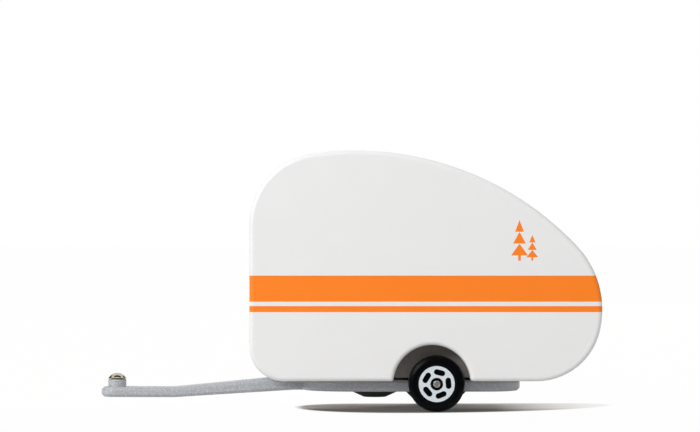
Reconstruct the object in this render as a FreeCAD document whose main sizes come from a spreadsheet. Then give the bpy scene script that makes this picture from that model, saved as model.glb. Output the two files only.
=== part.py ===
import FreeCAD, Part
import math
import os
import Sketcher

# Toy teardrop trailer: a painted wooden block on a cast chassis with a cranked tow bar.
# Millimetres. +X runs from the hitch to the tail, +Z is up and Z 0 is the floor.
# The origin lies on the floor, midway between the bar's tip and the tail, on the centre plane.

# Driving sizes, in millimetres and degrees

SIZES = {
    # wooden body
    "body_length": 79.9,
    "body_width": 36.0,
    "body_rise": 0.63,
    "roof_height": 59.25,
    "roof_setback": 24.05,
    "nose_radius": 16.35,
    "tail_radius": 21.0,
    "tail_height": 23.2,
    "tail_foot_radius": 14.65,
    "front_foot_radius": 7.8,
    "edge_round": 1.0,
    "arch_radius": 8.74,
    "arch_lead": 1.05,
    "arch_rise": 0.1,
    "arch_lip": 0.7,
    # axle line
    "axle_setback": 42.4,
    "axle_height": 6.37,
    "axle_radius": 0.6,
    "axle_head_radius": 0.78,
    "axle_head_length": 0.35,
    "axle_head_bevel": 0.2,
    "axle_head_gap": 0.1,
    # wheels
    "wheel_width": 5.0,
    "wheel_inset": 0.3,
    "wheel_bore_gap": 0.05,
    "tread_bevel": 0.9,
    "tread_shoulder": 0.26,
    "tyre_wall": 2.07,
    "rim_bevel": 0.28,
    "dish_depth": 0.75,
    "hub_radius": 1.41,
    "hub_rise": 0.55,
    "back_depth": 2.4,
    "back_wall": 1.1,
    "back_hub_radius": 1.5,
    # pale wheel discs
    "disc_edge_gap": 0.22,
    "disc_hole_gap": 0.02,
    "disc_thick": 0.5,
    "slot_count": 5,
    "slot_offset": 0.085,
    "slot_length": 2.58,
    "slot_width": 1.27,
    "slot_start": 32.0,
    # cast chassis
    "plate_side_gap": 0.5,
    "plate_thick": 2.66,
    "plate_start": 11.1,
    "plate_rear_reach": 19.45,
    "plate_rear_round": 8.0,
    "cast_edge_bevel": 0.6,
    "corner_land": 0.3,
    "bar_width": 7.0,
    "hitch_reach": 34.7,
    "tip_foot": 2.65,
    "tip_thick": 2.3,
    "bend_setback": 18.0,
    "bend_foot": 2.6,
    "bend_thick": 2.25,
    "bend_radius": 24.0,
    "bar_top_end": 4.3,
    "neck_lead": 1.2,
    # hitch boss and pin
    "boss_inset": 3.6,
    "boss_radius": 2.1,
    "boss_rise": 1.8,
    "boss_bevel": 0.25,
    "pin_head_radius": 2.12,
    "pin_rim_length": 0.2,
    "pin_head_height": 1.38,
    "pin_shank_radius": 1.0,
    "pin_shank_length": 3.0,
    "press_gap": 0.01,
    # axle rib and saddle
    "rib_width": 3.4,
    "rib_rise": 0.5,
    "saddle_depth": 1.74,
    "saddle_length": 13.8,
    "saddle_foot_length": 10.4,
    "saddle_inset": 2.2,
    "tongue_gap": 0.05,
    # wheel box in the arch
    "box_side_gap": 0.6,
    "box_foot_gap": 0.6,
    "box_gap": 0.05,
    # screws and cup washer
    "screw_radius": 1.0,
    "screw_head_radius": 1.5,
    "screw_head_height": 0.9,
    "screw_head_bevel": 0.4,
    "screw_length": 9.0,
    "cross_length": 1.9,
    "cross_width": 0.5,
    "cross_depth": 0.5,
    "saddle_screw_offset": 3.1,
    "hole_gap": 0.1,
    "pilot_spare": 0.5,
    "head_seat_gap": 0.15,
    "cup_lead": 13.9,
    "cup_base_radius": 6.4,
    "cup_foot_radius": 2.6,
    "cup_height": 1.74,
    "cup_recess_depth": 1.0,
    # how far a cut or a fused pad reaches past the surface it meets
    "overlap": 1.0,
}

doc = FreeCAD.newDocument("teardrop_trailer")
sheet = doc.addObject("Spreadsheet::Sheet", "Sizes")
for row, (alias, number) in enumerate(SIZES.items(), start=1):
    sheet.set(f"A{row}", alias)
    sheet.set(f"B{row}", str(number))
    sheet.setAlias(f"B{row}", alias)
doc.recompute()


def size(name):
    """The sheet's cell of that name, as an expression."""
    return f"Sizes.{name}"


def value(expression):
    """The number that an expression of the sheet's cells gives."""
    return float(sheet.evalExpression(expression))


# Places that several pieces share

FRONT_X = "((Sizes.hitch_reach - Sizes.body_length) / 2)"
TAIL_X = "((Sizes.hitch_reach + Sizes.body_length) / 2)"
TIP_X = "(-(Sizes.hitch_reach + Sizes.body_length) / 2)"
AXLE_X = f"({FRONT_X} + Sizes.axle_setback)"
ARCH_X = f"({AXLE_X} - Sizes.arch_lead)"
CUP_X = f"({AXLE_X} - Sizes.cup_lead)"
PLATE_FRONT_X = f"({FRONT_X} + Sizes.plate_start)"
PLATE_REAR_X = f"({AXLE_X} + Sizes.plate_rear_reach)"
BEND_X = f"({FRONT_X} - Sizes.bend_setback)"
BAR_TOP_X = f"({FRONT_X} + Sizes.bar_top_end)"
NECK_X = f"({PLATE_FRONT_X} - Sizes.neck_lead)"
BOSS_X = f"({TIP_X} + Sizes.boss_inset)"

BODY_FOOT = "(Sizes.axle_height + Sizes.body_rise)"
PLATE_FOOT = f"({BODY_FOOT} - Sizes.plate_thick)"
SADDLE_FOOT = f"({PLATE_FOOT} - Sizes.saddle_depth)"
CUP_FOOT = f"({PLATE_FOOT} - Sizes.cup_height)"
CUP_SCREW_Z = f"({CUP_FOOT} + Sizes.cup_recess_depth - Sizes.screw_head_height)"
ARCH_Z = "(Sizes.axle_height + Sizes.arch_rise)"
RIB_TOP = f"({BODY_FOOT} + Sizes.rib_rise)"
BOX_FOOT = f"({BODY_FOOT} + Sizes.box_foot_gap)"
TIP_TOP = "(Sizes.tip_foot + Sizes.tip_thick)"
BOSS_TOP = f"({TIP_TOP} + Sizes.boss_rise)"

HALF_BODY = "(Sizes.body_width / 2)"
WHEEL_Y = f"({HALF_BODY} - Sizes.wheel_inset)"
WHEEL_BACK_Y = f"({WHEEL_Y} - Sizes.wheel_width)"
HALF_BOX = f"({WHEEL_BACK_Y} - Sizes.box_side_gap)"
HALF_PLATE = f"({WHEEL_BACK_Y} - Sizes.plate_side_gap)"
HALF_SADDLE = f"({HALF_PLATE} - Sizes.saddle_inset)"
HALF_BAR = "(Sizes.bar_width / 2)"
HUB_FACE = "(Sizes.hub_rise - Sizes.dish_depth)"
HUB_FACE_Y = f"({WHEEL_Y} + {HUB_FACE})"
DISC_Y = f"({WHEEL_Y} - Sizes.dish_depth + Sizes.disc_thick)"

GROOVE_RADIUS = "(Sizes.axle_radius + Sizes.wheel_bore_gap)"
DISH_RADIUS = "(Sizes.axle_height - Sizes.tyre_wall)"
DISC_RADIUS = f"({DISH_RADIUS} - Sizes.disc_edge_gap)"
SLOT_CIRCLE = f"((Sizes.hub_radius + {DISC_RADIUS}) / 2 - Sizes.slot_offset)"
CLEAR_HOLE = "(Sizes.screw_radius + Sizes.hole_gap)"
PILOT_HOLE = "(Sizes.screw_radius + Sizes.press_gap)"
HEAD_SEAT = "(Sizes.screw_head_radius + Sizes.head_seat_gap)"
TIP_ROUND = f"({HALF_BAR} - Sizes.corner_land)"
PLATE_FRONT_ROUND = f"({HALF_PLATE} - Sizes.corner_land)"

# How near two numbers, in millimetres, are taken to be the same
TOUCH = 0.01


# Small helpers for bodies, sketches and features

def new_body(label):
    body = doc.addObject("PartDesign::Body", label)
    body.Label = label
    return body


def new_sketch(body, name, role):
    sketch = body.newObject("Sketcher::SketchObject", name)
    plane = [feature for feature in body.Origin.OriginFeatures if feature.Role == role][0]
    sketch.AttachmentSupport = [(plane, "")]
    sketch.MapMode = "FlatFace"
    return sketch


def bind(sketch, kind, *where, to):
    """Add a constraint whose size follows an expression."""
    index = sketch.addConstraint(Sketcher.Constraint(kind, *where, value(to)))
    sketch.setExpression(f"Constraints[{index}]", to)


def pin_point(sketch, edge, end, x, y):
    """Hold one end of an edge at two expressions from the sketch's origin."""
    bind(sketch, "DistanceX", -1, 1, edge, end, to=x)
    bind(sketch, "DistanceY", -1, 1, edge, end, to=y)


def arc_between(sketch, centre, radius, start, end):
    """An arc drawn anticlockwise from start to end."""
    first = math.atan2(start.y - centre.y, start.x - centre.x)
    last = math.atan2(end.y - centre.y, end.x - centre.x)
    ring = Part.Circle(centre, FreeCAD.Vector(0, 0, 1), radius)
    return sketch.addGeometry(Part.ArcOfCircle(ring, first, last), False)


def corner_arc(corner, before, after, radius):
    """Where an arc of that radius leaves and meets the two lines at a corner, and its centre."""
    incoming = (before - corner).normalize()
    outgoing = (after - corner).normalize()
    half_angle = incoming.getAngle(outgoing) / 2
    run = radius / math.tan(half_angle)
    middle = (incoming + outgoing).normalize()
    centre = corner + middle * (radius / math.sin(half_angle))
    return corner + incoming * run, corner + outgoing * run, centre


def outline(sketch, corners):
    """A closed outline through corners (x, y) or (x, y, radius), all of them expressions.

    A line that ends at a rounded corner is level or upright.
    """
    points = [FreeCAD.Vector(value(corner[0]), value(corner[1]), 0) for corner in corners]
    count = len(corners)
    ends = list(points)
    starts = list(points)
    arcs = {}
    for n, corner in enumerate(corners):
        if len(corner) < 3:
            continue
        before = points[n - 1]
        after = points[(n + 1) % count]
        radius = value(corner[2])
        ends[n], starts[n], centre = corner_arc(points[n], before, after, radius)
        if (points[n] - before).cross(after - points[n]).z > 0:
            arcs[n] = (arc_between(sketch, centre, radius, ends[n], starts[n]), 1, 2)
        else:
            arcs[n] = (arc_between(sketch, centre, radius, starts[n], ends[n]), 2, 1)
        bind(sketch, "Radius", arcs[n][0], to=corner[2])

    lines = []
    for n in range(count):
        line = Part.LineSegment(starts[n], ends[(n + 1) % count])
        lines.append(sketch.addGeometry(line, False))
    for n, line in enumerate(lines):
        following = (n + 1) % count
        if following in arcs:
            arc, entry, leaving = arcs[following]
            sketch.addConstraint([
                Sketcher.Constraint("Tangent", line, 2, arc, entry),
                Sketcher.Constraint("Tangent", arc, leaving, lines[following], 1),
            ])
        else:
            sketch.addConstraint(Sketcher.Constraint("Coincident", line, 2, lines[following], 1))
            pin_point(sketch, lines[following], 1, corners[following][0], corners[following][1])
        if n in arcs or following in arcs:
            upright = corners[n][0] == corners[following][0]
            sketch.addConstraint(Sketcher.Constraint("Vertical" if upright else "Horizontal", line))
        if n in arcs and following in arcs:
            kind, level = ("DistanceX", corners[n][0]) if upright else ("DistanceY", corners[n][1])
            bind(sketch, kind, -1, 1, line, 1, to=level)
    doc.recompute()


def circle(sketch, x, y, radius):
    centre = FreeCAD.Vector(value(x), value(y), 0)
    upright = FreeCAD.Vector(0, 0, 1)
    ring = sketch.addGeometry(Part.Circle(centre, upright, value(radius)), False)
    pin_point(sketch, ring, 3, x, y)
    bind(sketch, "Radius", ring, to=radius)
    doc.recompute()


def pad_both_ways(body, sketch, name, half_length):
    pad = body.newObject("PartDesign::Pad", name)
    pad.Profile = sketch
    pad.SideType = "Symmetric"
    pad.setExpression("Length", f"2 * {half_length}")
    doc.recompute()
    return pad


def pad_between(body, sketch, name, low, high):
    """Pad a sketch of the floor plane from one height to another."""
    pad = body.newObject("PartDesign::Pad", name)
    pad.Profile = sketch
    pad.SideType = "Two sides"
    pad.setExpression("Length", high)
    pad.setExpression("Length2", f"-{low}")
    doc.recompute()
    return pad


def check_cut(feature, before):
    if not feature.Shape.Volume < before:
        raise RuntimeError(feature.Name + " removed nothing")


def pocket_through(body, sketch, name):
    """Cut the sketch's area right through, both ways from its plane."""
    before = body.Shape.Volume
    pocket = body.newObject("PartDesign::Pocket", name)
    pocket.Profile = sketch
    pocket.SideType = "Symmetric"
    pocket.Type = "ThroughAll"
    doc.recompute()
    check_cut(pocket, before)
    return pocket


def drill(body, sketch, height):
    """Cut a sketch of the floor plane upwards to that height."""
    before = body.Shape.Volume
    hole = body.newObject("PartDesign::Pocket", sketch.Name + "_cut")
    hole.Profile = sketch
    hole.Reversed = True
    hole.setExpression("Length", height)
    doc.recompute()
    check_cut(hole, before)
    return hole


def revolve(body, sketch, name, axis):
    turned = body.newObject("PartDesign::Revolution", name)
    turned.Profile = sketch
    turned.ReferenceAxis = (sketch, [axis])
    turned.Angle = 360
    doc.recompute()
    return turned


def edges_of(base, chosen):
    """A base feature with the names of those of its edges for which chosen(edge) is true."""
    return base, [f"Edge{n}" for n, edge in enumerate(base.Shape.Edges, start=1) if chosen(edge)]


def round_edges(body, base, name, radius, chosen):
    rounding = body.newObject("PartDesign::Fillet", name)
    rounding.Base = edges_of(base, chosen)
    rounding.setExpression("Radius", radius)
    doc.recompute()
    return rounding


def bevel_edges(body, base, name, width, chosen):
    bevel = body.newObject("PartDesign::Chamfer", name)
    bevel.Base = edges_of(base, chosen)
    bevel.setExpression("Size", width)
    doc.recompute()
    return bevel


def place(body, x="0", y="0", z="0", turn=0):
    """Put a body at three expressions, after a turn in degrees about the upright axis."""
    facing = FreeCAD.Rotation(FreeCAD.Vector(0, 0, 1), turn)
    body.Placement = FreeCAD.Placement(FreeCAD.Vector(0, 0, 0), facing)
    body.setExpression("Placement.Base.x", x)
    body.setExpression("Placement.Base.y", y)
    body.setExpression("Placement.Base.z", z)


def near(number, *expressions):
    """True where the number is that of one of the expressions."""
    return any(abs(number - value(expression)) < TOUCH for expression in expressions)


# Wooden body

def touching_point(outer, outer_radius, inner):
    """Where a circle about inner touches the larger one about outer, from inside."""
    return outer + (inner - outer).normalize() * outer_radius


def draw_teardrop(side):
    """Side outline of tangent arcs: nose, roof, tail and the two rounded feet.

    The roof arc's radius isn't given. It follows from its peak and from the tail arc that it meets.
    """
    vector = FreeCAD.Vector
    front = value(FRONT_X)
    tail = value(TAIL_X)
    foot = value(BODY_FOOT)
    nose_r = SIZES["nose_radius"]
    tail_r = SIZES["tail_radius"]
    tail_foot_r = SIZES["tail_foot_radius"]
    front_foot_r = SIZES["front_foot_radius"]
    peak = vector(front + SIZES["roof_setback"], SIZES["roof_height"], 0)

    tail_centre = vector(tail - tail_r, SIZES["tail_height"], 0)
    run = tail_centre.x - peak.x
    drop = peak.y - tail_centre.y
    roof_r = (run**2 + drop**2 - tail_r**2) / (2 * (drop - tail_r))
    roof = vector(peak.x, peak.y - roof_r, 0)
    nose_x = front + nose_r
    nose = vector(nose_x, roof.y + math.sqrt((roof_r - nose_r)**2 - (peak.x - nose_x)**2), 0)
    foot_rise = foot + tail_foot_r - tail_centre.y
    foot_run = math.sqrt((tail_r - tail_foot_r)**2 - foot_rise**2)
    tail_foot = vector(tail_centre.x + foot_run, foot + tail_foot_r, 0)
    front_foot = vector(front + front_foot_r, foot + front_foot_r, 0)

    nose_start = vector(front, nose.y, 0)
    nose_end = touching_point(roof, roof_r, nose)
    roof_end = touching_point(roof, roof_r, tail_centre)
    tail_end = touching_point(tail_centre, tail_r, tail_foot)
    foot_end = vector(tail_foot.x, foot, 0)
    foot_start = vector(front_foot.x, foot, 0)
    front_end = vector(front, front_foot.y, 0)

    nose_arc = arc_between(side, nose, nose_r, nose_end, nose_start)
    roof_arc = arc_between(side, roof, roof_r, roof_end, nose_end)
    tail_arc = arc_between(side, tail_centre, tail_r, tail_end, roof_end)
    tail_foot_arc = arc_between(side, tail_foot, tail_foot_r, foot_end, tail_end)
    underside = side.addGeometry(Part.LineSegment(foot_end, foot_start), False)
    front_foot_arc = arc_between(side, front_foot, front_foot_r, front_end, foot_start)
    front_face = side.addGeometry(Part.LineSegment(front_end, nose_start), False)
    peak_mark = side.addGeometry(Part.Point(peak), True)

    side.addConstraint([
        Sketcher.Constraint("Tangent", nose_arc, 1, roof_arc, 2),
        Sketcher.Constraint("Tangent", roof_arc, 1, tail_arc, 2),
        Sketcher.Constraint("Tangent", tail_arc, 1, tail_foot_arc, 2),
        Sketcher.Constraint("Tangent", tail_foot_arc, 1, underside, 1),
        Sketcher.Constraint("Tangent", underside, 2, front_foot_arc, 2),
        Sketcher.Constraint("Tangent", front_foot_arc, 1, front_face, 1),
        Sketcher.Constraint("Tangent", front_face, 2, nose_arc, 2),
        Sketcher.Constraint("Vertical", front_face),
        Sketcher.Constraint("Horizontal", underside),
        Sketcher.Constraint("PointOnObject", peak_mark, 1, roof_arc),
        Sketcher.Constraint("Vertical", peak_mark, 1, roof_arc, 3),
    ])
    bind(side, "Radius", nose_arc, to=size("nose_radius"))
    bind(side, "Radius", tail_arc, to=size("tail_radius"))
    bind(side, "Radius", tail_foot_arc, to=size("tail_foot_radius"))
    bind(side, "Radius", front_foot_arc, to=size("front_foot_radius"))
    bind(side, "DistanceX", -1, 1, front_face, 1, to=FRONT_X)
    bind(side, "DistanceY", -1, 1, underside, 1, to=BODY_FOOT)
    pin_point(side, peak_mark, 1, f"{FRONT_X} + Sizes.roof_setback", size("roof_height"))
    pin_point(side, tail_arc, 3, f"{TAIL_X} - Sizes.tail_radius", size("tail_height"))
    doc.recompute()


def make_body_block():
    """Teardrop block, cut for the wheels and softly rounded along its side faces."""
    body = new_body("body_block")
    side = new_sketch(body, "teardrop", "XZ_Plane")
    draw_teardrop(side)
    pad_both_ways(body, side, "teardrop_block", HALF_BODY)

    arch = new_sketch(body, "wheel_arch", "XZ_Plane")
    circle(arch, ARCH_X, ARCH_Z, size("arch_radius"))
    arched = pocket_through(body, arch, "arch_cut")

    def is_arch_lip(edge):
        box = edge.BoundBox
        in_arch = abs(box.XMin - value(ARCH_X)) < SIZES["arch_radius"] + TOUCH
        return in_arch and near(box.ZMax, BODY_FOOT) and near(box.YMax, HALF_BODY) and box.XLength < TOUCH

    lipped = round_edges(body, arched, "arch_lips", size("arch_lip"), is_arch_lip)

    def is_side_edge(edge):
        box = edge.BoundBox
        on_left = near(box.YMin, HALF_BODY)
        on_right = near(box.YMax, f"-{HALF_BODY}")
        return on_left or on_right

    round_edges(body, lipped, "soft_edges", size("edge_round"), is_side_edge)

    pilot = new_sketch(body, "pilot_hole", "XY_Plane")
    circle(pilot, CUP_X, "0", PILOT_HOLE)
    drill(body, pilot, f"{CUP_SCREW_Z} + Sizes.screw_length + Sizes.pilot_spare")


# Wheel box, the dark block that fills the arch between the wheels

def make_wheel_box():
    body = new_body("wheel_box")
    side = new_sketch(body, "half_disc", "XZ_Plane")
    radius = "(Sizes.arch_radius - Sizes.box_gap)"
    centre = FreeCAD.Vector(value(ARCH_X), value(ARCH_Z), 0)
    rise = value(BOX_FOOT) - centre.y
    reach = math.sqrt(value(radius)**2 - rise**2)
    right = centre + FreeCAD.Vector(reach, rise, 0)
    left = centre + FreeCAD.Vector(-reach, rise, 0)
    dome = arc_between(side, centre, value(radius), right, left)
    flat = side.addGeometry(Part.LineSegment(left, right), False)
    side.addConstraint([
        Sketcher.Constraint("Coincident", dome, 2, flat, 1),
        Sketcher.Constraint("Coincident", flat, 2, dome, 1),
        Sketcher.Constraint("Horizontal", flat),
    ])
    pin_point(side, dome, 3, ARCH_X, ARCH_Z)
    bind(side, "Radius", dome, to=radius)
    bind(side, "DistanceY", -1, 1, flat, 1, to=BOX_FOOT)
    doc.recompute()
    pad_both_ways(body, side, "box_block", HALF_BOX)

    pilots = new_sketch(body, "pilot_holes", "XY_Plane")
    for sign in ("-", "+"):
        circle(pilots, f"{AXLE_X} {sign} Sizes.saddle_screw_offset", "0", PILOT_HOLE)
    drill(body, pilots, f"{SADDLE_FOOT} + Sizes.screw_length + Sizes.pilot_spare")


# Cast chassis: round-fronted plate, cranked tow bar and hitch boss in one casting

def make_chassis():
    body = new_body("chassis_casting")
    side = new_sketch(body, "bar_profile", "XZ_Plane")
    outline(side, (
        (TIP_X, size("tip_foot")),
        (BEND_X, size("bend_foot")),
        (NECK_X, PLATE_FOOT),
        (AXLE_X, PLATE_FOOT),
        (AXLE_X, BODY_FOOT),
        (BAR_TOP_X, BODY_FOOT),
        (BEND_X, "Sizes.bend_foot + Sizes.bend_thick"),
        (TIP_X, TIP_TOP),
    ))
    bar = pad_both_ways(body, side, "tow_bar", HALF_BAR)

    def is_bend(edge):
        box = edge.BoundBox
        at_bend = near(box.XMin, BEND_X, BAR_TOP_X, NECK_X)
        return at_bend and box.XLength < TOUCH and box.YLength > TOUCH

    def is_tip_corner(edge):
        box = edge.BoundBox
        return near(box.XMax, TIP_X) and box.YLength < TOUCH

    bent = round_edges(body, bar, "soft_bends", size("bend_radius"), is_bend)
    round_edges(body, bent, "tip_corners", TIP_ROUND, is_tip_corner)
    add_plate(body)
    add_axle_rib(body)
    add_boss(body)
    cut_axle_groove(body)

    holes = new_sketch(body, "screw_holes", "XY_Plane")
    circle(holes, CUP_X, "0", CLEAR_HOLE)
    for sign in ("-", "+"):
        circle(holes, f"{AXLE_X} {sign} Sizes.saddle_screw_offset", "0", CLEAR_HOLE)
    pocket_through(body, holes, "screw_hole_cut")


def add_plate(body):
    """Plate that the bar runs into, half round in front; then the bevel of the casting's edges."""
    plan = new_sketch(body, "plate_plan", "XY_Plane")
    outline(plan, (
        (PLATE_FRONT_X, f"-{HALF_PLATE}", PLATE_FRONT_ROUND),
        (PLATE_REAR_X, f"-{HALF_PLATE}", size("plate_rear_round")),
        (PLATE_REAR_X, HALF_PLATE, size("plate_rear_round")),
        (PLATE_FRONT_X, HALF_PLATE, PLATE_FRONT_ROUND),
    ))
    plate = pad_between(body, plan, "plate", low=PLATE_FOOT, high=BODY_FOOT)

    def is_cast_edge(edge):
        box = edge.BoundBox
        upright = box.XLength < TOUCH and box.YLength < TOUCH
        crosses = box.XLength < TOUCH and not near(box.XMin, TIP_X, PLATE_REAR_X)
        return not upright and not crosses

    bevel_edges(body, plate, "cast_edges", size("cast_edge_bevel"), is_cast_edge)


def add_axle_rib(body):
    rib = new_sketch(body, "axle_rib_section", "XZ_Plane")
    foot = f"{BODY_FOOT} - Sizes.overlap"
    outline(rib, (
        (f"{AXLE_X} - Sizes.rib_width / 2", foot),
        (f"{AXLE_X} + Sizes.rib_width / 2", foot),
        (f"{AXLE_X} + Sizes.rib_width / 2", RIB_TOP),
        (f"{AXLE_X} - Sizes.rib_width / 2", RIB_TOP),
    ))
    pad_both_ways(body, rib, "axle_rib", HALF_PLATE)


def add_boss(body):
    """Round boss at the bar's tip, with a bevelled rim and a blind hole for the pin."""
    plan = new_sketch(body, "hitch_boss_plan", "XY_Plane")
    circle(plan, BOSS_X, "0", size("boss_radius"))
    in_bar = "(Sizes.tip_foot + Sizes.tip_thick / 2)"
    boss = pad_between(body, plan, "hitch_boss", low=in_bar, high=BOSS_TOP)

    def is_boss_rim(edge):
        box = edge.BoundBox
        return near(box.ZMin, BOSS_TOP) and near(box.XLength, "2 * Sizes.boss_radius")

    bevel_edges(body, boss, "boss_rim", size("boss_bevel"), is_boss_rim)

    hole_plan = new_sketch(body, "pin_hole_plan", "XY_Plane")
    circle(hole_plan, BOSS_X, "0", "Sizes.pin_shank_radius + Sizes.press_gap")
    before = body.Shape.Volume
    hole = body.newObject("PartDesign::Pocket", "pin_hole")
    hole.Profile = hole_plan
    hole.SideType = "Two sides"
    hole.setExpression("Length", f"-({BOSS_TOP} - Sizes.pin_shank_length - Sizes.hole_gap)")
    hole.setExpression("Length2", f"{BOSS_TOP} + Sizes.overlap")
    doc.recompute()
    check_cut(hole, before)


def cut_axle_groove(body):
    """Groove across the plate, open below, with a round seat for the axle at its top."""
    channel = new_sketch(body, "axle_groove_section", "XZ_Plane")
    foot = f"{PLATE_FOOT} - Sizes.overlap"
    outline(channel, (
        (f"{AXLE_X} - {GROOVE_RADIUS}", foot),
        (f"{AXLE_X} + {GROOVE_RADIUS}", foot),
        (f"{AXLE_X} + {GROOVE_RADIUS}", size("axle_height")),
        (f"{AXLE_X} - {GROOVE_RADIUS}", size("axle_height")),
    ))
    pocket_through(body, channel, "axle_groove")
    seat = new_sketch(body, "axle_seat", "XZ_Plane")
    circle(seat, AXLE_X, size("axle_height"), GROOVE_RADIUS)
    pocket_through(body, seat, "axle_seat_cut")


# Axle, saddle and screws

def make_axle():
    """Steel rod with a bevelled head at each end, lying along Y at its own origin."""
    body = new_body("axle")
    section = new_sketch(body, "rod_section", "YZ_Plane")
    head_in = f"({HUB_FACE_Y} + Sizes.axle_head_gap)"
    head_out = f"({head_in} + Sizes.axle_head_length)"
    head_rim = f"({head_out} - Sizes.axle_head_bevel)"
    head_face = "(Sizes.axle_head_radius - Sizes.axle_head_bevel)"
    outline(section, (
        (f"-{head_out}", "0"),
        (head_out, "0"),
        (head_out, head_face),
        (head_rim, size("axle_head_radius")),
        (head_in, size("axle_head_radius")),
        (head_in, size("axle_radius")),
        (f"-{head_in}", size("axle_radius")),
        (f"-{head_in}", size("axle_head_radius")),
        (f"-{head_rim}", size("axle_head_radius")),
        (f"-{head_out}", head_face),
    ))
    revolve(body, section, "rod", "H_Axis")
    place(body, x=AXLE_X, z=size("axle_height"))


def make_saddle():
    """Moulded block below the plate, whose tongue closes the axle's groove."""
    body = new_body("axle_saddle")
    side = new_sketch(body, "saddle_side", "XZ_Plane")
    half = "Sizes.saddle_length / 2"
    half_foot = "Sizes.saddle_foot_length / 2"
    tongue = f"({GROOVE_RADIUS} - Sizes.tongue_gap)"
    outline(side, (
        (f"-{half_foot}", SADDLE_FOOT),
        (half_foot, SADDLE_FOOT),
        (half, PLATE_FOOT),
        (tongue, PLATE_FOOT),
        (tongue, size("axle_height")),
        (f"-{tongue}", size("axle_height")),
        (f"-{tongue}", PLATE_FOOT),
        (f"-{half}", PLATE_FOOT),
    ))
    pad_both_ways(body, side, "saddle_block", HALF_SADDLE)
    seat = new_sketch(body, "axle_seat", "XZ_Plane")
    circle(seat, "0", size("axle_height"), GROOVE_RADIUS)
    pocket_through(body, seat, "axle_seat_cut")
    holes = new_sketch(body, "screw_holes", "XY_Plane")
    seats = new_sketch(body, "head_seats", "XY_Plane")
    for sign in ("-", ""):
        circle(holes, f"{sign}Sizes.saddle_screw_offset", "0", CLEAR_HOLE)
        circle(seats, f"{sign}Sizes.saddle_screw_offset", "0", HEAD_SEAT)
    pocket_through(body, holes, "screw_hole_cut")
    drill(body, seats, f"{SADDLE_FOOT} + Sizes.screw_head_height")
    place(body, x=AXLE_X)


def make_screw(label, x, foot):
    """Pan-head screw with a cross recess, its head's face at that height."""
    body = new_body(label)
    section = new_sketch(body, "screw_section", "XZ_Plane")
    outline(section, (
        ("0", "0"),
        ("Sizes.screw_head_radius - Sizes.screw_head_bevel", "0"),
        (size("screw_head_radius"), size("screw_head_bevel")),
        (size("screw_head_radius"), size("screw_head_height")),
        (size("screw_radius"), size("screw_head_height")),
        (size("screw_radius"), size("screw_length")),
        ("0", size("screw_length")),
    ))
    revolve(body, section, "screw", "V_Axis")

    cross = new_sketch(body, "cross", "XY_Plane")
    far = "Sizes.cross_length / 2"
    near_by = "Sizes.cross_width / 2"
    outline(cross, (
        (far, f"-{near_by}"),
        (far, near_by),
        (near_by, near_by),
        (near_by, far),
        (f"-{near_by}", far),
        (f"-{near_by}", near_by),
        (f"-{far}", near_by),
        (f"-{far}", f"-{near_by}"),
        (f"-{near_by}", f"-{near_by}"),
        (f"-{near_by}", f"-{far}"),
        (near_by, f"-{far}"),
        (near_by, f"-{near_by}"),
    ))
    drill(body, cross, size("cross_depth"))
    place(body, x=x, z=foot)


def make_cup_washer():
    """Shallow cone below the plate that takes the body's screw."""
    body = new_body("cup_washer")
    section = new_sketch(body, "cup_section", "XZ_Plane")
    outline(section, (
        (CLEAR_HOLE, size("cup_height")),
        (CLEAR_HOLE, size("cup_recess_depth")),
        (HEAD_SEAT, size("cup_recess_depth")),
        (HEAD_SEAT, "0"),
        (size("cup_foot_radius"), "0"),
        (size("cup_base_radius"), size("cup_height")),
    ))
    revolve(body, section, "cup", "V_Axis")
    place(body, x=CUP_X, z=CUP_FOOT)


def make_hitch_pin():
    """Domed pin pressed into the boss at the bar's tip."""
    body = new_body("hitch_pin")
    section = new_sketch(body, "pin_section", "XZ_Plane")
    vector = FreeCAD.Vector
    head = SIZES["pin_head_radius"]
    rim = SIZES["pin_rim_length"]
    top = SIZES["pin_head_height"]
    dome_radius = (head**2 + (top - rim)**2) / (2 * (top - rim))
    corners = (
        ("0", size("pin_head_height")),
        ("0", "-Sizes.pin_shank_length"),
        (size("pin_shank_radius"), "-Sizes.pin_shank_length"),
        (size("pin_shank_radius"), "0"),
        (size("pin_head_radius"), "0"),
        (size("pin_head_radius"), size("pin_rim_length")),
    )
    points = [vector(value(x), value(y), 0) for x, y in corners]
    lines = []
    for start, end in zip(points, points[1:]):
        lines.append(section.addGeometry(Part.LineSegment(start, end), False))
    for line, following in zip(lines, lines[1:]):
        section.addConstraint(Sketcher.Constraint("Coincident", line, 2, following, 1))
    for line, (x, y) in zip(lines, corners):
        pin_point(section, line, 1, x, y)
    pin_point(section, lines[-1], 2, corners[-1][0], corners[-1][1])
    dome = arc_between(section, vector(0, top - dome_radius, 0), dome_radius, points[-1], points[0])
    section.addConstraint([
        Sketcher.Constraint("Coincident", dome, 2, lines[0], 1),
        Sketcher.Constraint("Coincident", dome, 1, lines[-1], 2),
        Sketcher.Constraint("PointOnObject", dome, 3, -2),
    ])
    doc.recompute()
    revolve(body, section, "pin", "V_Axis")
    place(body, x=BOSS_X, z=BOSS_TOP)


# Wheels, each a black moulding with a pale slotted disc in its outer dish

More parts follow.
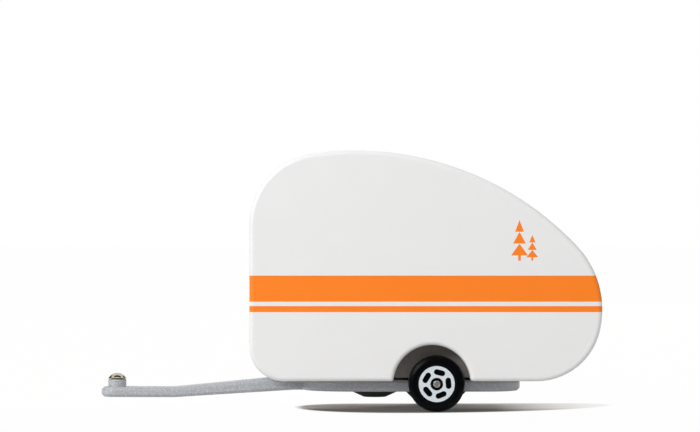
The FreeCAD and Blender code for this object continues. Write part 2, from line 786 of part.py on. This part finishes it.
def make_wheel(label):
    """Smooth tyre, web and hub in one turned form, open at the back; outer face at Y 0."""
    body = new_body(label)
    section = new_sketch(body, "wheel_section", "YZ_Plane")
    back_rim = "(Sizes.axle_height - Sizes.back_wall)"
    back = "-(Sizes.wheel_width - Sizes.back_depth)"
    outline(section, (
        (HUB_FACE, GROOVE_RADIUS),
        (HUB_FACE, size("hub_radius")),
        ("-Sizes.dish_depth", size("hub_radius")),
        ("-Sizes.dish_depth", DISH_RADIUS),
        ("-Sizes.rim_bevel", DISH_RADIUS),
        ("0", f"{DISH_RADIUS} + Sizes.rim_bevel"),
        ("0", "Sizes.axle_height - Sizes.tread_bevel"),
        ("-Sizes.tread_shoulder", "Sizes.axle_height - Sizes.tread_shoulder"),
        ("-Sizes.tread_bevel", size("axle_height")),
        ("-Sizes.wheel_width", size("axle_height")),
        ("-Sizes.wheel_width", back_rim),
        (back, back_rim),
        (back, size("back_hub_radius")),
        ("-Sizes.wheel_width", size("back_hub_radius")),
        ("-Sizes.wheel_width", GROOVE_RADIUS),
    ))
    revolve(body, section, "wheel_form", "H_Axis")
    return body


def make_disc(label):
    """Thin disc with five rounded slots round its hub hole; outer face at Y 0."""
    body = new_body(label)
    face = new_sketch(body, "disc_face", "XZ_Plane")
    circle(face, "0", "0", DISC_RADIUS)
    circle(face, "0", "0", "Sizes.hub_radius + Sizes.disc_hole_gap")
    pad = body.newObject("PartDesign::Pad", "disc_plate")
    pad.Profile = face
    pad.setExpression("Length", size("disc_thick"))
    doc.recompute()
    slot = new_sketch(body, "slot", "XZ_Plane")
    draw_slot(slot)
    cut = pocket_through(body, slot, "slot_cut")
    ring = body.newObject("PartDesign::PolarPattern", "slot_ring")
    ring.Originals = [cut]
    ring.Axis = (slot, ["N_Axis"])
    ring.Angle = 360
    ring.setExpression("Occurrences", size("slot_count"))
    body.Tip = ring
    doc.recompute()
    return body


def draw_slot(sketch):
    """A straight slot with round ends, square to the radius through its middle."""
    vector = FreeCAD.Vector
    angle = math.radians(SIZES["slot_start"])
    out = vector(math.cos(angle), math.sin(angle), 0)
    along = vector(-out.y, out.x, 0)
    middle = out * value(SLOT_CIRCLE)
    end_radius = SIZES["slot_width"] / 2
    reach = SIZES["slot_length"] / 2 - end_radius
    first = middle - along * reach
    last = middle + along * reach
    side = out * end_radius
    arcs = (
        arc_between(sketch, last, end_radius, last + side, last - side),
        arc_between(sketch, first, end_radius, first - side, first + side),
    )
    inner = sketch.addGeometry(Part.LineSegment(last - side, first - side), False)
    outer = sketch.addGeometry(Part.LineSegment(first + side, last + side), False)
    sketch.addConstraint([
        Sketcher.Constraint("Tangent", arcs[0], 2, inner, 1),
        Sketcher.Constraint("Tangent", inner, 2, arcs[1], 1),
        Sketcher.Constraint("Tangent", arcs[1], 2, outer, 1),
        Sketcher.Constraint("Tangent", outer, 2, arcs[0], 1),
        Sketcher.Constraint("Equal", arcs[0], arcs[1]),
    ])
    bind(sketch, "Radius", arcs[0], to="Sizes.slot_width / 2")
    cosine = "cos(Sizes.slot_start * 1deg)"
    sine = "sin(Sizes.slot_start * 1deg)"
    half_run = "(Sizes.slot_length - Sizes.slot_width) / 2"
    for arc, sign, other in ((arcs[0], "-", "+"), (arcs[1], "+", "-")):
        x = f"{SLOT_CIRCLE} * {cosine} {sign} {half_run} * {sine}"
        y = f"{SLOT_CIRCLE} * {sine} {other} {half_run} * {cosine}"
        pin_point(sketch, arc, 3, x, y)
    doc.recompute()


make_body_block()
make_wheel_box()
make_chassis()
make_axle()
make_saddle()
make_cup_washer()
make_screw("body_screw", CUP_X, CUP_SCREW_Z)
make_screw("saddle_screw_front", f"{AXLE_X} - Sizes.saddle_screw_offset", SADDLE_FOOT)
make_screw("saddle_screw_rear", f"{AXLE_X} + Sizes.saddle_screw_offset", SADDLE_FOOT)
make_hitch_pin()

# The right wheel is the left one turned about the upright axis
for side, sign, turn in (("left", "", 0), ("right", "-", 180)):
    wheel = make_wheel(f"wheel_{side}")
    place(wheel, x=AXLE_X, y=f"{sign}{WHEEL_Y}", z=size("axle_height"), turn=turn)
    disc = make_disc(f"wheel_disc_{side}")
    place(disc, x=AXLE_X, y=f"{sign}{DISC_Y}", z=size("axle_height"), turn=turn)
doc.recompute()

os.makedirs("parts", exist_ok=True)
for thing in doc.Objects:
    if "Invalid" in thing.State or "Error" in thing.State:
        raise RuntimeError(thing.Label + " failed: " + str(thing.State))
for body in [thing for thing in doc.Objects if thing.TypeId == "PartDesign::Body"]:
    shape = body.Shape
    if shape.isNull() or not shape.isValid():
        raise RuntimeError(body.Label + " has no valid shape")
    shape.exportStep(f"parts/{body.Label}.step")
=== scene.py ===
import math

import bpy
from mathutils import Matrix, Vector

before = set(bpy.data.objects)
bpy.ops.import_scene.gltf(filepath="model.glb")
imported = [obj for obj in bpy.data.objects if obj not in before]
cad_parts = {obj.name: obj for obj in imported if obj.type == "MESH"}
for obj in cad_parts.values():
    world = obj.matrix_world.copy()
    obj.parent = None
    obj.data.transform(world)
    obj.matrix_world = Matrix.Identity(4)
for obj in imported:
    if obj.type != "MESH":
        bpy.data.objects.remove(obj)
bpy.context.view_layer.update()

# Looks of a toy teardrop trailer: an enamelled beech block on a sparkling zinc casting.
# Metres, in the frame of the CAD: +X from the hitch to the tail, +Z up, floor at Z 0.

MM = 0.001
WHITE = "#FFFFFF"


def linear(hex_colour):
    """An sRGB hex colour as the linear colour that shaders take."""
    shares = [int(hex_colour[n:n + 2], 16) / 255 for n in (1, 3, 5)]
    lights = [s / 12.92 if s <= 0.04045 else ((s + 0.055) / 1.055) ** 2.4 for s in shares]
    return (*lights, 1.0)


def add(tree, kind, inputs=None, **settings):
    """Add a node with its settings and links.

    Each input is a value, the socket that feeds it, or a node, whose first output in use does.
    """
    made = tree.nodes.new("ShaderNode" + kind)
    for name, setting in settings.items():
        setattr(made, name, setting)
    for socket, source in (inputs or {}).items():
        if isinstance(source, bpy.types.Node):
            source = next(output for output in source.outputs if output.enabled)
        if isinstance(source, bpy.types.NodeSocket):
            tree.links.new(source, made.inputs[socket])
        else:
            made.inputs[socket].default_value = source
    return made


def empty_tree(holder):
    """The node tree of a material or world, with nothing in it."""
    holder.use_nodes = True
    holder.node_tree.nodes.clear()
    return holder.node_tree


def new_material(name):
    """A material with its empty tree, and the object's own coordinates in it."""
    material = bpy.data.materials.new(name)
    tree = empty_tree(material)
    return material, tree, add(tree, "TexCoord").outputs["Object"]


def per_metre(*sizes):
    """How many of a pattern's sizes along X, Y and Z, in millimetres, make a metre."""
    return Vector([1 / size for size in sizes]) / MM


# Painted body

BODY_WHITE = "#E9E9E9"
BODY_ORANGE = "#FF8318"
WIDE_STRIPE = (24.98 * MM, 30.97 * MM)
NARROW_STRIPE = (22.64 * MM, 24.08 * MM)
STRIPE_EDGE = 0.08 * MM
TREES = (
    {"middle": 38.5 * MM, "foot": 34.3 * MM, "size": 9.2 * MM, "reach": 1.9 * MM},
    {"middle": 41.4 * MM, "foot": 34.3 * MM, "size": 5.8 * MM, "reach": 1.35 * MM},
)
TREE_TIERS = 3
TIER_SHRINK = 0.24
TRUNK_SHARE = 0.13
TRUNK_REACH = 0.16


def stripe_share(tree, height, low, high):
    """1 between two heights, with a soft printed edge at each."""
    above = add(tree, "MapRange", {
        "Value": height, "From Min": low, "From Max": low + STRIPE_EDGE,
    })
    below = add(tree, "MapRange", {
        "Value": height, "From Min": high, "From Max": high - STRIPE_EDGE,
    })
    return add(tree, "Math", {0: above, 1: below}, operation="MULTIPLY")


def pine_share(tree, along, height, middle, foot, size, reach):
    """1 inside a plain pine tree: tiers that narrow upwards on a short trunk."""
    offset = add(tree, "Math", {0: along, 1: middle}, operation="SUBTRACT")
    offset = add(tree, "Math", {0: offset}, operation="ABSOLUTE")
    skirt = foot + TRUNK_SHARE * size
    tier = add(tree, "MapRange", {
        "Value": height, "From Min": skirt, "From Max": foot + size, "To Max": TREE_TIERS,
    }, clamp=False)
    step = add(tree, "Math", {0: tier}, operation="FLOOR")
    rise = add(tree, "Math", {0: tier}, operation="FRACT")
    widest = add(tree, "Math", {
        0: step, 1: -TIER_SHRINK * reach, 2: reach,
    }, operation="MULTIPLY_ADD")
    taper = add(tree, "Math", {0: 1.0, 1: rise}, operation="SUBTRACT")
    half = add(tree, "Math", {0: widest, 1: taper}, operation="MULTIPLY")
    in_crown = add(tree, "Math", {0: offset, 1: half}, operation="LESS_THAN")
    above_skirt = add(tree, "Math", {0: tier, 1: 0.0}, operation="GREATER_THAN")
    below_top = add(tree, "Math", {0: tier, 1: float(TREE_TIERS)}, operation="LESS_THAN")
    crown = add(tree, "Math", {0: in_crown, 1: above_skirt}, operation="MULTIPLY")
    crown = add(tree, "Math", {0: crown, 1: below_top}, operation="MULTIPLY")
    in_trunk = add(tree, "Math", {0: offset, 1: TRUNK_REACH * reach}, operation="LESS_THAN")
    above_foot = add(tree, "Math", {0: height, 1: foot}, operation="GREATER_THAN")
    below_skirt = add(tree, "Math", {0: height, 1: skirt}, operation="LESS_THAN")
    trunk = add(tree, "Math", {0: in_trunk, 1: above_foot}, operation="MULTIPLY")
    trunk = add(tree, "Math", {0: trunk, 1: below_skirt}, operation="MULTIPLY")
    return add(tree, "Math", {0: crown, 1: trunk}, operation="MAXIMUM")


def enamel_on_beech():
    """Sprayed satin enamel on sanded beech, printed in orange.

    The enamel gives a soft even sheen, and the wood shows as long faint swells below it.
    """
    material, tree, place = new_material("satin_enamel_on_beech")
    axes = add(tree, "SeparateXYZ", {"Vector": place}).outputs
    wide = stripe_share(tree, axes["Z"], *WIDE_STRIPE)
    narrow = stripe_share(tree, axes["Z"], *NARROW_STRIPE)
    orange = add(tree, "Math", {0: wide, 1: narrow}, operation="MAXIMUM")
    for pine in TREES:
        share = pine_share(tree, axes["X"], axes["Z"], **pine)
        orange = add(tree, "Math", {0: orange, 1: share}, operation="MAXIMUM")
    paint = add(tree, "Mix", {
        "Factor": orange, "A": linear(BODY_WHITE), "B": linear(BODY_ORANGE),
    }, data_type="RGBA")

    # Spray mist varies the paint's tone by up to 1.5 percent over about 9 mm
    mist = add(tree, "TexNoise", {"Vector": place, "Scale": 1 / (9 * MM), "Detail": 2.0})
    tone = add(tree, "MapRange", {"Value": mist, "To Min": 0.985, "To Max": 1.015})
    # Grain runs along X for 28 mm or so and telegraphs through the paint every 1.4 mm
    streaks = add(tree, "VectorMath", {
        0: place, 1: per_metre(28, 1.4, 1.4),
    }, operation="MULTIPLY")
    grain = add(tree, "TexNoise", {"Vector": streaks, "Scale": 1.0, "Detail": 3.0})
    swell = add(tree, "Bump", {"Height": grain, "Distance": 0.02 * MM, "Strength": 0.35})
    # The sprayed skin has an orange peel of about 0.5 mm
    peel = add(tree, "TexNoise", {"Vector": place, "Scale": 1 / (0.5 * MM), "Detail": 1.0})
    surface = add(tree, "BsdfPrincipled", {
        "Base Color": add(tree, "VectorMath", {
            "Vector": paint, "Scale": tone,
        }, operation="SCALE"),
        "Roughness": add(tree, "MapRange", {"Value": mist, "To Min": 0.34, "To Max": 0.44}),
        "IOR": 1.45,
        "Normal": add(tree, "Bump", {
            "Height": peel, "Distance": 0.006 * MM, "Strength": 0.5, "Normal": swell,
        }),
    })
    add(tree, "OutputMaterial", {"Surface": surface})
    return material


# Metals

PAINTED_GLINT_POWER = 4.0


def sparkle_coated_zinc():
    """Die-cast zinc under a silver lacquer full of flakes.

    The casting gives soft edges, and each flake is lighter than the grey, partly by its own metal
    and partly by a painted glint.
    """
    material, tree, place = new_material("sparkle_coated_zinc")
    # Real flakes are about 0.06 mm; drawn at 0.12 mm so that they show in the render
    flakes = add(tree, "TexVoronoi", {"Vector": place, "Scale": 1 / (0.12 * MM)})
    flake_randoms = add(tree, "SeparateColor", {"Color": flakes.outputs["Color"]}).outputs
    # Flakes lighter in colour: partly their own metal, partly a painted glint
    flake_tone_and_painted_glint = add(tree, "Math", {0: flake_randoms["Red"], 1: PAINTED_GLINT_POWER}, operation="POWER")
    # The cast skin rolls gently every 1.1 mm, and the flakes lift the lacquer by microns
    skin = add(tree, "TexNoise", {"Vector": place, "Scale": 1 / (1.1 * MM), "Detail": 2.0})
    soft_edges = add(tree, "Bevel", {"Radius": 0.45 * MM}, samples=6)
    rolled = add(tree, "Bump", {
        "Height": skin, "Distance": 0.05 * MM, "Strength": 0.4, "Normal": soft_edges,
    })
    surface = add(tree, "BsdfPrincipled", {
        "Base Color": add(tree, "Mix", {
            "Factor": flake_tone_and_painted_glint, "A": linear("#A8ABAF"), "B": linear("#DCDFE4"),
        }, data_type="RGBA"),
        "Metallic": 0.15,
        "Roughness": add(tree, "MapRange", {
            "Value": flake_randoms["Green"], "To Min": 0.28, "To Max": 0.5,
        }),
        "Normal": add(tree, "Bump", {
            "Height": flake_randoms["Blue"], "Distance": 0.012 * MM, "Strength": 0.5, "Normal": rolled,
        }),
    })
    add(tree, "OutputMaterial", {"Surface": surface})
    return material


def polished_nickel():
    """Nickel plate on a turned pin: a warm mirror that is clouded unevenly by its polishing."""
    material, tree, place = new_material("polished_nickel")
    # The polish clouds every 0.3 mm or so
    cloud = add(tree, "TexNoise", {"Vector": place, "Scale": 1 / (0.3 * MM), "Detail": 2.0})
    surface = add(tree, "BsdfPrincipled", {
        "Base Color": linear("#C1B9A6"),
        "Metallic": 1.0,
        "Roughness": add(tree, "MapRange", {"Value": cloud, "To Min": 0.06, "To Max": 0.13}),
    })
    add(tree, "OutputMaterial", {"Surface": surface})
    return material


def drawn_steel():
    """Bright wire with its ends headed over: fine draw lines along it and a grey shine."""
    material, tree, place = new_material("drawn_steel")
    # Real draw lines lie 0.05 mm apart; drawn at 0.35 mm, which also mottles the headed ends
    runs = add(tree, "VectorMath", {
        0: place, 1: per_metre(0.35, 3, 0.35),
    }, operation="MULTIPLY")
    lines = add(tree, "TexNoise", {"Vector": runs, "Scale": 1.0, "Detail": 2.0})
    contrast = add(tree, "MapRange", {"Value": lines, "From Min": 0.35, "From Max": 0.65})
    surface = add(tree, "BsdfPrincipled", {
        "Base Color": add(tree, "Mix", {
            "Factor": contrast, "A": linear("#A09D9A"), "B": linear("#EFECE8"),
        }, data_type="RGBA"),
        "Metallic": 1.0,
        "Roughness": add(tree, "MapRange", {"Value": lines, "To Min": 0.3, "To Max": 0.5}),
        "Normal": add(tree, "Bump", {"Height": lines, "Distance": 0.01 * MM, "Strength": 0.4}),
    })
    add(tree, "OutputMaterial", {"Surface": surface})
    return material


def zinc_plated_steel():
    """Bright zinc on small screws: bluish silver with a slight cloudiness."""
    material, tree, place = new_material("zinc_plated_steel")
    # The plating clouds every 0.6 mm or so
    cloud = add(tree, "TexNoise", {"Vector": place, "Scale": 1 / (0.6 * MM), "Detail": 3.0})
    surface = add(tree, "BsdfPrincipled", {
        "Base Color": add(tree, "Mix", {
            "Factor": cloud, "A": linear("#A9AFB6"), "B": linear("#C9CDD2"),
        }, data_type="RGBA"),
        "Metallic": 1.0,
        "Roughness": add(tree, "MapRange", {"Value": cloud, "To Min": 0.25, "To Max": 0.42}),
    })
    add(tree, "OutputMaterial", {"Surface": surface})
    return material


# Mouldings and board

def gloss_black_abs():
    """ABS from a polished mould: a deep black with only a faint sheen."""
    material, tree, place = new_material("gloss_black_abs")
    # The moulding's flow swells every 1.5 mm or so
    flow = add(tree, "TexNoise", {"Vector": place, "Scale": 1 / (1.5 * MM), "Detail": 2.0})
    surface = add(tree, "BsdfPrincipled", {
        "Base Color": linear("#08090B"),
        "Roughness": add(tree, "MapRange", {"Value": flow, "To Min": 0.2, "To Max": 0.34}),
        "IOR": 1.52,
        "Specular IOR Level": 0.05,
        "Normal": add(tree, "Bump", {"Height": flow, "Distance": 0.01 * MM, "Strength": 0.3}),
    })
    add(tree, "OutputMaterial", {"Surface": surface})
    return material


def silver_stamped_abs():
    """Hot-stamped silver foil on a moulded disc: pale, cool and slightly grained."""
    material, tree, place = new_material("silver_stamped_abs")
    # The foil's own grain is too fine to show; drawn at 0.22 mm, about a pixel of the render
    grain = add(tree, "TexVoronoi", {"Vector": place, "Scale": 1 / (0.22 * MM)})
    shade = add(tree, "SeparateColor", {"Color": grain.outputs["Color"]}).outputs
    surface = add(tree, "BsdfPrincipled", {
        "Base Color": add(tree, "Mix", {
            "Factor": shade["Red"], "A": linear("#CDD5DC"), "B": linear("#DEE5EA"),
        }, data_type="RGBA"),
        "Roughness": add(tree, "MapRange", {
            "Value": shade["Green"], "To Min": 0.3, "To Max": 0.45,
        }),
    })
    add(tree, "OutputMaterial", {"Surface": surface})
    return material


def matt_black_nylon():
    """Nylon from an eroded mould: a dry black with a fine even grain."""
    material, tree, place = new_material("matt_black_nylon")
    # The mould's eroded grain is about 0.25 mm
    grain = add(tree, "TexNoise", {"Vector": place, "Scale": 1 / (0.25 * MM), "Detail": 2.0})
    surface = add(tree, "BsdfPrincipled", {
        "Base Color": linear("#2E2E2A"),
        "Roughness": add(tree, "MapRange", {"Value": grain, "To Min": 0.5, "To Max": 0.68}),
        "IOR": 1.53,
        "Normal": add(tree, "Bump", {"Height": grain, "Distance": 0.015 * MM, "Strength": 0.6}),
    })
    add(tree, "OutputMaterial", {"Surface": surface})
    return material


def stained_fibreboard():
    """Dark stained fibreboard between the wheels: a mottled, dry, brownish grey."""
    material, tree, place = new_material("stained_fibreboard")
    # The stain takes unevenly every 1.2 mm, and cut fibres stand up every 0.3 mm
    mottle = add(tree, "TexNoise", {"Vector": place, "Scale": 1 / (1.2 * MM), "Detail": 4.0})
    fibres = add(tree, "TexNoise", {"Vector": place, "Scale": 1 / (0.3 * MM), "Detail": 3.0})
    surface = add(tree, "BsdfPrincipled", {
        "Base Color": add(tree, "Mix", {
            "Factor": mottle, "A": linear("#75716D"), "B": linear("#96918C"),
        }, data_type="RGBA"),
        "Roughness": 0.62,
        "Normal": add(tree, "Bump", {"Height": fibres, "Distance": 0.03 * MM, "Strength": 0.5}),
    })
    add(tree, "OutputMaterial", {"Surface": surface})
    return material


FINISHES = (
    (enamel_on_beech, ("body_block",)),
    (stained_fibreboard, ("wheel_box",)),
    (sparkle_coated_zinc, ("chassis_casting",)),
    (polished_nickel, ("hitch_pin",)),
    (drawn_steel, ("axle",)),
    (zinc_plated_steel, ("body_screw", "saddle_screw_front", "saddle_screw_rear")),
    (matt_black_nylon, ("axle_saddle", "cup_washer")),
    (gloss_black_abs, ("wheel_left", "wheel_right")),
    (silver_stamped_abs, ("wheel_disc_left", "wheel_disc_right")),
)


def dress_nodes():
    """Put each finish on the pieces of the model that have it."""
    for make, names in FINISHES:
        material = make()
        for name in names:
            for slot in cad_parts[name].material_slots:
                slot.material = material


# Studio floor, white but for the shadow below the trailer, with painted white cutting its outline
# and painted shadow at its front

FLOOR_SIZE = 8.0
FLOOR_SENT = "#D2D1D0"
FLOOR_SEEN = "#F0E6DB"
# The darkest floor tone is a painted shadow along the shadow's front edge, reached over the Y
# span after it
FLOOR_PAINTED_SHADOW = "#5E5650"
PAINTED_SHADOW_EDGE = (0, -8 * MM)
# The oval and the rear fade set where painted white covers the real shadow, so the shadow's
# outline is painted
SHADOW_MIDDLE = (13 * MM, -1.4 * MM)
SHADOW_REACH = {"front": 23.5 * MM, "rear": 42 * MM, "side": 16.9 * MM}
SHADOW_FULLNESS = 1.5
SHADOW_BOW = 0.0055 / MM
SHADOW_EDGE = (1.0, 1.18)
REAR_FADE = (31.5 * MM, 58 * MM)
SHADOW_PAINTED_LIFT = 0.06
FAR_WHITE = 0.985
REAR_PAINTED_WHITE = 0.75


def link_rectangle(name, width, depth, material):
    """A flat rectangle of that material, centred on its own origin and facing its own Z."""
    mesh = bpy.data.meshes.new(name)
    signs = ((-1, -1), (1, -1), (1, 1), (-1, 1))
    corners = [(x * width / 2, y * depth / 2, 0.0) for x, y in signs]
    mesh.from_pydata(corners, [], [(0, 1, 2, 3)])
    mesh.materials.append(material)
    rectangle = bpy.data.objects.new(name, mesh)
    bpy.context.scene.collection.objects.link(rectangle)
    return rectangle


def seen_share(tree, ray):
    """1 for rays that show or mirror what they meet, 0 for those that only carry its light."""
    seen = add(tree, "Math", {
        0: ray["Is Camera Ray"], 1: ray["Is Glossy Ray"],
    }, operation="MAXIMUM")
    return add(tree, "Math", {0: seen, 1: ray["Is Transmission Ray"]}, operation="MAXIMUM")


def way_out(tree, axes):
    """How far out a point of the floor lies: 0 in the shadow's middle and 1 at the oval edge past
    which painted white covers the real shadow.

    The oval, fuller in front and bowed back towards its ends, follows the photograph's shadow.
    """
    along = add(tree, "Math", {0: axes["X"], 1: SHADOW_MIDDLE[0]}, operation="SUBTRACT")
    ahead = add(tree, "Math", {0: along, 1: -SHADOW_REACH["front"]}, operation="DIVIDE")
    ahead = add(tree, "Math", {0: ahead, 1: SHADOW_FULLNESS}, operation="POWER")
    behind = add(tree, "Math", {0: along, 1: SHADOW_REACH["rear"]}, operation="DIVIDE")
    lengthwise = add(tree, "Math", {0: ahead, 1: behind}, operation="MAXIMUM")
    square = add(tree, "Math", {0: along, 1: along}, operation="MULTIPLY")
    middle = add(tree, "Math", {
        0: square, 1: SHADOW_BOW, 2: SHADOW_MIDDLE[1],
    }, operation="MULTIPLY_ADD")
    across = add(tree, "Math", {0: axes["Y"], 1: middle}, operation="SUBTRACT")
    across = add(tree, "Math", {0: across, 1: SHADOW_REACH["side"]}, operation="DIVIDE")
    offset = add(tree, "CombineXYZ", {"X": lengthwise, "Y": across})
    return add(tree, "VectorMath", {"Vector": offset}, operation="LENGTH")


def lay_floor():
    """Pale floor that keeps the shadow below the trailer, deepens its front with painted shadow,
    and paints it out to white beside it.
    """
    material, tree, place = new_material("pale_studio_board")
    ray = add(tree, "LightPath").outputs
    axes = add(tree, "SeparateXYZ", {"Vector": place}).outputs

    # The camera sees a warmer, lighter board than lights the toy, with a painted shadow that
    # darkens it towards the front
    front = add(tree, "MapRange", {
        "Value": axes["Y"], "From Min": PAINTED_SHADOW_EDGE[0], "From Max": PAINTED_SHADOW_EDGE[1],
    })
    tone = add(tree, "Mix", {
        "Factor": front, "A": linear(FLOOR_SEEN), "B": linear(FLOOR_PAINTED_SHADOW),
    }, data_type="RGBA")
    tone = add(tree, "Mix", {
        "Factor": ray["Is Camera Ray"], "A": linear(FLOOR_SENT), "B": tone,
    }, data_type="RGBA")
    board = add(tree, "BsdfDiffuse", {"Color": tone})

    # Outside the oval, and more and more towards the tail, painted white covers the real shadow,
    # and inside a little painted light lifts it
    far = add(tree, "MapRange", {
        "Value": way_out(tree, axes), "From Min": SHADOW_EDGE[0], "From Max": SHADOW_EDGE[1],
        "To Min": SHADOW_PAINTED_LIFT, "To Max": FAR_WHITE,
    }, interpolation_type="SMOOTHSTEP")
    rear = add(tree, "MapRange", {
        "Value": axes["X"], "From Min": REAR_FADE[0], "From Max": REAR_FADE[1],
        "To Max": REAR_PAINTED_WHITE,
    })
    painted_white_share = add(tree, "Math", {0: far, 1: rear}, operation="MAXIMUM")
    share = add(tree, "Math", {0: seen_share(tree, ray), 1: painted_white_share}, operation="MULTIPLY")
    white = add(tree, "Emission", {"Color": linear(WHITE), "Strength": 1.0})
    both = add(tree, "MixShader", {0: share, 1: board, 2: white})
    add(tree, "OutputMaterial", {"Surface": both})

    floor = link_rectangle("studio_floor", FLOOR_SIZE, FLOOR_SIZE, material)


# White surroundings, dark boards for what mirrors them, and soft lamps

HORIZON_LIGHT = 0.12
BAND_LIGHT = 0.78
ZENITH_LIGHT = 0.44
HORIZON_TO_BAND = (0.05, 0.35)
BAND_TO_ZENITH = (0.6, 1.0)

# low_board lies just over the floor, below the camera, where the casting's side mirrors it
DARK_BOARDS = (
    {"name": "front_board", "where": (0, -1.5, 1.1), "width": 3.6, "height": 2.5,
     "facing": (0, 1, 0), "colour": "#181818"},
    {"name": "low_board", "where": (0, -0.78, 0.001), "width": 3.0, "height": 1.5,
     "facing": (0, 0, 1), "colour": "#181818"},
    {"name": "overhead_board", "where": (-0.04, -0.02, 0.5), "width": 0.5, "height": 0.2,
     "facing": (0, 0, -1), "colour": "#33281C"},
    {"name": "left_board", "where": (-1.0, 0.45, 0.45), "width": 1.3, "height": 0.9,
     "facing": (1, -0.45, -0.45), "colour": "#6E5636"},
    {"name": "right_board", "where": (0.9, 0.45, 0.45), "width": 1.3, "height": 0.9,
     "facing": (-1, -0.45, -0.45), "colour": "#6E5636"},
)
LAMPS = (
    {"name": "key", "where": (-0.51, -0.61, 0.45), "side": 0.4, "power": 5.15,
     "mirrored": True},
    {"name": "back_fill", "where": (0.45, 0.78, 0.17), "side": 0.3, "power": 2.1,
     "mirrored": False},
)
LAMP_TARGET = (0, 0, 0.03)


def light_surroundings():
    """World that lights most from halfway up, and is plain white to what sees or mirrors it."""
    world = bpy.data.worlds.new("white_studio")
    bpy.context.scene.world = world
    tree = empty_tree(world)
    ray = add(tree, "LightPath").outputs
    direction = add(tree, "TexCoord").outputs["Generated"]
    rise = add(tree, "SeparateXYZ", {"Vector": direction}).outputs["Z"]
    low_sky = add(tree, "MapRange", {
        "Value": rise, "From Min": HORIZON_TO_BAND[0], "From Max": HORIZON_TO_BAND[1],
        "To Min": HORIZON_LIGHT, "To Max": BAND_LIGHT,
    })
    high_sky = add(tree, "MapRange", {
        "Value": rise, "From Min": BAND_TO_ZENITH[0], "From Max": BAND_TO_ZENITH[1],
        "To Min": BAND_LIGHT, "To Max": ZENITH_LIGHT,
    })
    sky = add(tree, "Math", {0: low_sky, 1: high_sky}, operation="MINIMUM")
    strength = add(tree, "MapRange", {
        "Value": seen_share(tree, ray), "To Min": sky, "To Max": 1.0,
    })
    glow = add(tree, "Background", {"Color": linear(WHITE), "Strength": strength})
    add(tree, "OutputWorld", {"Surface": glow})


def stand_dark_board(name, where, width, height, facing, colour):
    """A dark board that only mirroring surfaces see, as photographers stand round such things."""
    material = bpy.data.materials.new(name + "_cloth")
    tree = empty_tree(material)
    cloth = add(tree, "BsdfDiffuse", {"Color": linear(colour)})
    add(tree, "OutputMaterial", {"Surface": cloth})
    board = link_rectangle(name, width, height, material)
    board.location = where
    board.rotation_euler = Vector(facing).to_track_quat("Z", "Y").to_euler()
    board.visible_camera = False
    board.visible_diffuse = False
    board.visible_shadow = False
    board.visible_transmission = False


def hang_lamp(name, where, side, power, mirrored):
    """A square soft lamp turned towards the trailer, that glossy things mirror or not."""
    data = bpy.data.lights.new(name, "AREA")
    data.size = side
    data.energy = power
    lamp = bpy.data.objects.new(name, data)
    lamp.location = where
    towards = Vector(LAMP_TARGET) - Vector(where)
    lamp.rotation_euler = towards.to_track_quat("-Z", "Y").to_euler()
    lamp.visible_camera = False
    lamp.visible_glossy = mirrored
    bpy.context.scene.collection.objects.link(lamp)


# Camera

CAMERA_PLACE = (0.18 * MM, -752 * MM, 44.4 * MM)
CAMERA_LENS = 167.0
CAMERA_SENSOR = 36.0


def set_camera():
    """Level camera square to the trailer's side, at the photograph's distance and height."""
    data = bpy.data.cameras.new("camera")
    data.sensor_width = CAMERA_SENSOR
    data.lens = CAMERA_LENS
    camera = bpy.data.objects.new("camera", data)
    camera.location = CAMERA_PLACE
    camera.rotation_euler = (math.pi / 2, 0, 0)
    bpy.context.scene.collection.objects.link(camera)
    bpy.context.scene.camera = camera
    bpy.context.scene.view_settings.view_transform = "Standard"


dress_nodes()
lay_floor()
light_surroundings()
for dark_board in DARK_BOARDS:
    stand_dark_board(**dark_board)
for soft_lamp in LAMPS:
    hang_lamp(**soft_lamp)
set_camera()
